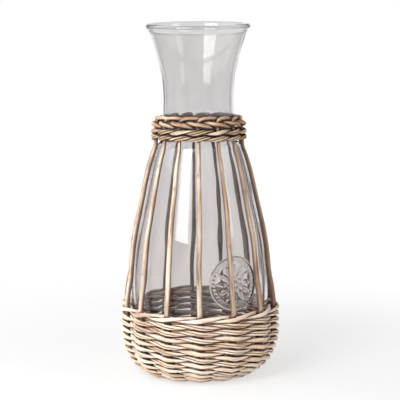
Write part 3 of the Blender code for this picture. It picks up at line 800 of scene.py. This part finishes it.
strands = 0
for row in range(-wickerShape["baseRows"], wickerShape["sideRows"] + 1):
    place = rowPlace(row)
    label, cadName = f"sideRow{row:02d}", f"side_row_{row:02d}"
    if row <= 0:
        label = "footRing" if row == 0 else f"baseRing{-row}"
        cadName = "foot_ring" if row == 0 else f"base_ring_{-row}"
    twist = 1 if row == wickerShape["sideRows"] else -1
    start = stakeCount // 2 + row % 3
    fullness = -wickerShape["footFullness"] * place[2].y if row >= 0 else 0.0
    reach = basketSwing(place[0], fullness)
    seed = row * weaverLook["sideSeeds"][0] + weaverLook["sideSeeds"][1]
    pair = makePair(label, place, reach, fullness, wickerShape["weaver"], twist, start, seed)
    for strand, letter in pair:
        dress(strand, weaverFinish, "willow_weaver", f"{cadName}_{letter}")
        strands += 1
for row in range(wickerShape["collarRows"]):
    place = (collarRadius, collarStart + row * collarPitch, Vector((1, 0)))
    start = stakeCount // 2 + row
    reach = collarSwing(collarRadius)
    seed = row * weaverLook["collarSeeds"][0] + weaverLook["collarSeeds"][1]
    pair = makePair(f"collarRow{row + 1}", place, reach, 0.0, wickerShape["collarWeaver"], 1, start, seed)
    for strand, letter in pair:
        dress(strand, collarFinish, "willow_collar", f"collar_row_{row + 1}_{letter}")
        strands += 1
print("weavers ready:", strands)


# The seven long rods: fourteen stakes, whose ends make the border
rodLook = {
    "sides": 14, "spacing": 2.4, "cornerSamples": 8, "sideSamples": 14, "borderSamples": 11,
    "straightShare": 0.85, "spreadShare": 1.2,  # where the crossed rods begin to spread, and have spread
    "freeRise": 25.0, "freeFall": (30.0, 8.0),  # above the basket and below the collar
    "freeSwell": 0.11, "wobble": 0.34, "swayShare": 2, "swayLength": 24, "liftShare": 0.5, "liftLength": 17,
    "thicknessChange": 0.05, "thicknessLength": 30, "firstKnot": 18.0, "firstKnotChange": 9,
    "knotEvery": 88.0, "knotEveryChange": 0.6, "knotEveryLength": 5, "knotFree": 0.2,
    "knotProud": 0.05, "knotOut": 0.7, "knotWidth": 2.2, "knotReach": 8,
    "endTaper": 9.0, "endThickness": 0.5, "endEase": 0.7,
    "frontBackSeed": 1.3, "sideToSideSeed": 6.3, "patternShift": 1.7,
}
rodSection = sectionCurve("rodSection", roundSection(1.0, 1.0, rodLook["sides"]))


def borderPoints(azimuth):
    bend = wickerShape["borderBend"]
    points = [at(borderPlace(0.0)[0], azimuth, borderHeight - bend)]
    bendTurns = bend / (borderRadius * stakeAngle)
    turns = bendTurns * (1 - math.sqrt(0.5))
    radius, height = borderPlace(turns)
    points.append(at(radius, azimuth + turns * stakeAngle, height - bend * (1 - math.sqrt(0.5))))
    for i in range(rodLook["borderSamples"] + 1):
        turns = bendTurns + (wickerShape["borderEnd"] - bendTurns) * i / rodLook["borderSamples"]
        radius, height = borderPlace(turns)
        points.append(at(radius, azimuth + turns * stakeAngle, height))
    return points


def basePoints(azimuth, group, layer):
    spread = azimuth - group
    offset = spread / stakeAngle * rodSpacing
    bendRadius = offset / math.sin(spread) if abs(spread) > 1e-6 else rodSpacing / stakeAngle
    along = rodLook["straightShare"] * bendRadius * math.cos(spread)
    halfway = (wickerShape["domeRadius"] + wickerShape["footRadius"]) / 2
    return [
        at(math.hypot(along, offset), group + math.atan2(offset, along), baseHeight(0) + layer),
        at(rodLook["spreadShare"] * bendRadius, azimuth, baseHeight(0) + layer),
        at(wickerShape["domeRadius"], azimuth, baseHeight(0)),
        at(halfway, azimuth, baseHeight(halfway)),
    ]


def stakePoints(azimuth):
    points = []
    for i in range(rodLook["cornerSamples"] + 1):
        radius, height, _ = cornerPlace(i / rodLook["cornerSamples"] * math.pi / 2)
        points.append(at(radius, azimuth, height))
    points.append(at(wallRadius, azimuth, basketTop))
    heights = [basketTop + wickerShape["leanHeight"] / 2]
    for i in range(rodLook["sideSamples"] + 1):
        heights.append(leanTop + (leadFoot - leanTop) * i / rodLook["sideSamples"])
    heights += [collarStart, collarEnd, collarEnd + wickerShape["collarWeaver"] / 2, borderFoot]
    return points + [at(stakeRadius(height), azimuth, height) for height in heights]


def smoothPath(points, spacing):  # a curve through the points, with a sample about every spacing
    path = [points[0]]
    padded = [points[0] * 2 - points[1]] + points + [points[-1] * 2 - points[-2]]
    for a, b, c, d in zip(padded, padded[1:], padded[2:], padded[3:]):
        gaps = [max((q - p).length, 0.01) ** 0.5 for p, q in ((a, b), (b, c), (c, d))]
        leave = ((b - a) / gaps[0] - (c - a) / (gaps[0] + gaps[1]) + (c - b) / gaps[1]) * gaps[1]
        arrive = ((c - b) / gaps[1] - (d - b) / (gaps[1] + gaps[2]) + (d - c) / gaps[2]) * gaps[1]
        count = max(math.ceil((c - b).length / spacing), 1)
        for i in range(1, count + 1):
            t = i / count
            path.append(
                b * (2 * t ** 3 - 3 * t * t + 1) + leave * (t ** 3 - 2 * t * t + t)
                + c * (3 * t * t - 2 * t ** 3) + arrive * (t ** 3 - t * t)
            )
    return path


def rodPath(ends, layer):  # from one tip down, across the base and up to the other tip
    halves = []
    for azimuth, group in ends:
        points = basePoints(azimuth, group, layer) + stakePoints(azimuth) + borderPoints(azimuth)
        halves.append(smoothPath(points, rodLook["spacing"]))
    middle = smoothPath([halves[0][0], halves[1][0]], rodLook["spacing"])[1:-1]
    return list(reversed(halves[0])) + middle + halves[1]


def makeRod(name, ends, layer, seed):
    path = rodPath(ends, layer)
    fallStart, fallEnd = rodLook["freeFall"]
    points, radii, knots = [], [], []
    run = 0.0
    nextKnot = rodLook["firstKnot"] + rodLook["firstKnotChange"] * drift(seed, 0.5, "firstKnot")
    for i, spot in enumerate(path):
        run += (spot - path[i - 1]).length if i else 0
        free = ramp(spot.z, basketTop, basketTop + rodLook["freeRise"])
        free *= 1 - ramp(spot.z, collarStart - fallStart, collarStart - fallEnd)
        aside = Vector((-spot.y, spot.x, 0)).normalized()
        outward = Vector((spot.x, spot.y, 0)).normalized()
        sway = rodLook["wobble"] * free * drift(run / rodLook["swayLength"], seed, "sway")
        bow = abs(drift(run / rodLook["liftLength"], seed, "lift"))
        lift = rodLook["liftShare"] * rodLook["wobble"] * free * bow
        swell = rodLook["freeSwell"] * free * rodRadius(spot.z)
        points.append(spot + aside * sway * rodLook["swayShare"] + outward * (lift + swell))
        uneven = drift(run / rodLook["thicknessLength"], seed, "rodThickness")
        radii.append(rodRadius(spot.z) * (1 + rodLook["thicknessChange"] * uneven) + swell)
        if run > nextKnot:
            change = drift(run / rodLook["knotEveryLength"], seed, "knotGap")
            nextKnot = run + rodLook["knotEvery"] * (1 + rodLook["knotEveryChange"] * change)
            if free > rodLook["knotFree"]:
                knot = points[-1] + outward * radii[-1] * rodLook["knotOut"]
                knots.append(knot + aside * radii[-1] * drift(run, seed, "knotSide"))
    for i, spot in enumerate(points):
        near = min(((spot - knot).length for knot in knots), default=99)
        if near < rodLook["knotReach"]:
            fromKnot = (near - radii[i] * rodLook["knotOut"]) / rodLook["knotWidth"]
            radii[i] *= 1 + rodLook["knotProud"] * math.exp(-fromKnot ** 2)
        fromEnd = min((spot - points[0]).length, (spot - points[-1]).length)
        if spot.z > collarStart:
            taper = min(fromEnd / rodLook["endTaper"], 1) ** rodLook["endEase"]
            radii[i] *= rodLook["endThickness"] + (1 - rodLook["endThickness"]) * taper
    tilts = [0.0] * len(points)
    shift = seed * rodLook["patternShift"]
    return makeStrand(name, rodSection, points, radii, tilts, "MINIMUM", shift, knots)


quarter = math.pi / 2
for number in range(wickerShape["throughRods"]):
    turn = (number - (wickerShape["throughRods"] - 1) / 2) * stakeAngle
    ends = ((turn, 0.0), (2 * quarter - turn, 2 * quarter))
    rod = makeRod(f"frontBackRod{number + 1}", ends, rodSpacing / 2, number + rodLook["frontBackSeed"])
    dress(rod, rodFinish, "willow_rod", f"stake_rod_front_back_{number + 1}")
for number in range(wickerShape["crossRods"]):
    turn = (number - (wickerShape["crossRods"] - 1) / 2) * stakeAngle
    ends = ((quarter + turn, quarter), (-quarter - turn, -quarter))
    rod = makeRod(f"sideToSideRod{number + 1}", ends, -rodSpacing / 2, number + rodLook["sideToSideSeed"])
    dress(rod, rodFinish, "willow_rod", f"stake_rod_side_to_side_{number + 1}")
for section in weaverSections + [twinStrand, rodSection]:
    bpy.data.objects.remove(section)
print("rods ready")

creviceShadeFeel = {  # short rays feel how deep a spot lies, for painted shade in the weave's crevices, and less is made of it on the lit left side
    "reach": 5.0, "rays": 10, "rayTurn": 2.4, "lift": 0.12, "flattest": 0.12,
    "litFrom": 28.0, "litTo": 60.0, "litEase": 0.4,
}
willowPieces = [
    piece for piece in bpy.context.scene.objects if "knotShade" in getattr(piece.data, "attributes", {})
]


# painted shade: each willow spot is darkened by how shut in by other strands it is
def paintCreviceShade(pieces):
    corners, faces = [], []
    for piece in pieces:
        first = len(corners)
        corners.extend(spot.co for spot in piece.data.vertices)
        faces.extend([first + corner for corner in face.vertices] for face in piece.data.polygons)
    thicket = BVHTree.FromPolygons(corners, faces)
    rays = []
    for k in range(creviceShadeFeel["rays"]):
        up = 1 - (1 - creviceShadeFeel["flattest"]) * (k + 0.5) / creviceShadeFeel["rays"]
        flat = math.sqrt(1 - up * up)
        turn = k * creviceShadeFeel["rayTurn"]
        rays.append((flat * math.cos(turn), flat * math.sin(turn), up))
    reach = creviceShadeFeel["reach"] * mm
    for piece in pieces:
        creviceShade = piece.data.attributes.new("creviceShade", "FLOAT", "POINT")
        for i, spot in enumerate(piece.data.vertices):
            normal = spot.normal
            side = normal.orthogonal().normalized()
            other = normal.cross(side)
            start = spot.co + normal * creviceShadeFeel["lift"] * mm
            shut = 0.0
            for x, y, z in rays:
                distance = thicket.ray_cast(start, side * x + other * y + normal * z, reach)[3]
                if distance is not None:
                    shut += 1 - distance / reach
            lit = ramp(-spot.co.x / mm, creviceShadeFeel["litFrom"], creviceShadeFeel["litTo"])
            creviceShade.data[i].value = shut / len(rays) * (1 - creviceShadeFeel["litEase"] * lit)


paintCreviceShade(willowPieces)
print("crevices ready:", len(willowPieces), "strands")


# Floor, world, lamps and camera
stageLook = {
    "floorRadius": 0.75, "floorSides": 64, "floorColor": 0.96, "floorRoughness": 0.9,
    "shadowWeight": 0.36, "nearRadius": 0.16, "farRadius": 0.42,
    "ambient": 0.28, "cornerDark": 0.38, "cornerStrips": (0.8, 0.97), "aimHeight": 0.14,
}


def seenRays(tree):  # 1 for what the camera, a reflection or a refraction sees
    paths = node(tree, "ShaderNodeLightPath")
    first = mathNode(tree, "MAXIMUM", paths.outputs["Is Camera Ray"], paths.outputs["Is Glossy Ray"])
    return mathNode(tree, "MAXIMUM", first, paths.outputs["Is Transmission Ray"])


def floorFinish():  # white where it is seen, with a soft shadow that fades out from the carafe
    material, tree = blankMaterial("paleFloor")
    paper = node(tree, "ShaderNodeBsdfPrincipled")
    paper.inputs["Base Color"].default_value = (*[stageLook["floorColor"]] * 3, 1)
    paper.inputs["Roughness"].default_value = stageLook["floorRoughness"]
    white = node(tree, "ShaderNodeEmission")
    white.inputs[1].default_value = 1.0
    coords = node(tree, "ShaderNodeTexCoord")
    distance = node(tree, "ShaderNodeVectorMath", operation="LENGTH")
    tree.links.new(coords.outputs["Object"], distance.inputs[0])
    fade = node(tree, "ShaderNodeMapRange", interpolation_type="SMOOTHSTEP")
    fade.inputs["From Min"].default_value = stageLook["nearRadius"]
    fade.inputs["From Max"].default_value = stageLook["farRadius"]
    fade.inputs["To Min"].default_value = 1 - stageLook["shadowWeight"]
    fade.inputs["To Max"].default_value = 1.0
    tree.links.new(distance.outputs["Value"], fade.inputs["Value"])
    share = mathNode(tree, "MULTIPLY", fade.outputs[0], seenRays(tree))
    mixShaders(tree, share, paper, white)
    return material


sheet = bmesh.new()
bmesh.ops.create_circle(
    sheet, cap_ends=True, segments=stageLook["floorSides"], radius=stageLook["floorRadius"]
)
floorMesh = bpy.data.meshes.new("paperFloor")
sheet.to_mesh(floorMesh)
sheet.free()
floor = setOut("paperFloor", floorMesh)
floor.data.materials.append(floorFinish())

world = bpy.data.worlds.new("whiteRoom")
bpy.context.scene.world = world
world.use_nodes = True
room = world.node_tree
room.nodes.clear()
background = node(room, "ShaderNodeBackground")
background.inputs["Color"].default_value = (1, 1, 1, 1)
heading = join(room, node(room, "ShaderNodeTexCoord"), node(room, "ShaderNodeSeparateXYZ"))
east, north = heading.outputs[0], heading.outputs[1]

# Dark strips at the room's four corners draw the edges of the glass
apart = mathNode(room, "MULTIPLY", mathNode(room, "ABSOLUTE", mathNode(room, "MULTIPLY", east, north)), 2.0)
flat = mathNode(room, "ADD", mathNode(room, "POWER", east, 2.0), mathNode(room, "POWER", north, 2.0))
corner = mathNode(room, "DIVIDE", apart, mathNode(room, "ADD", flat, 0.001))
dark = remap(room, corner, *stageLook["cornerStrips"], 0.0, stageLook["cornerDark"])
cameraRay = node(room, "ShaderNodeLightPath").outputs["Is Camera Ray"]
shown = mathNode(room, "MAXIMUM", mathNode(room, "SUBTRACT", 1.0, dark), cameraRay)
seen = seenRays(room)
unseenLight = mathNode(room, "MULTIPLY", mathNode(room, "SUBTRACT", 1.0, seen), stageLook["ambient"])
strength = mathNode(room, "ADD", mathNode(room, "MULTIPLY", shown, seen), unseenLight)
room.links.new(strength, background.inputs["Strength"])
join(room, background, node(room, "ShaderNodeOutputWorld"))

lamps = {  # place, size across and upright, power in watts
    "keyBox": {"place": (-0.68, -1.0, 0.87), "size": (0.70, 1.2), "power": 16.5},
    "fillBox": {"place": (1.0, -0.62, 0.84), "size": (0.36, 1.2), "power": 3.3},
    "topBox": {"place": (-0.85, -0.15, 1.0), "size": (1.3, 1.3), "power": 6.6},
}
for name, look in lamps.items():
    light = bpy.data.lights.new(name, "AREA")
    light.shape = "RECTANGLE"
    light.size, light.size_y = look["size"]
    light.energy = look["power"]
    lamp = setOut(name, light)
    lamp.location = look["place"]
    aim = Vector((0, 0, stageLook["aimHeight"])) - lamp.location
    lamp.rotation_euler = aim.to_track_quat("-Z", "Y").to_euler()

shot = {
    "distance": 1.38, "height": 0.366, "aside": 0.0008, "pitch": 8.9, "roll": -0.35,
    "lens": 146.2, "sensor": 36.0,
}
cameraData = bpy.data.cameras.new("photoCamera")
cameraData.lens = shot["lens"]
cameraData.sensor_width = shot["sensor"]
camera = setOut("photoCamera", cameraData)
placeIt = Matrix.Translation((shot["aside"], -shot["distance"], shot["height"]))
pitchIt = Matrix.Rotation(math.radians(90 - shot["pitch"]), 4, "X")
rollIt = Matrix.Rotation(math.radians(shot["roll"]), 4, "Z")
camera.matrix_world = placeIt @ (pitchIt @ rollIt)
bpy.context.scene.camera = camera
bpy.context.scene.view_settings.view_transform = "Standard"

print("stage ready")
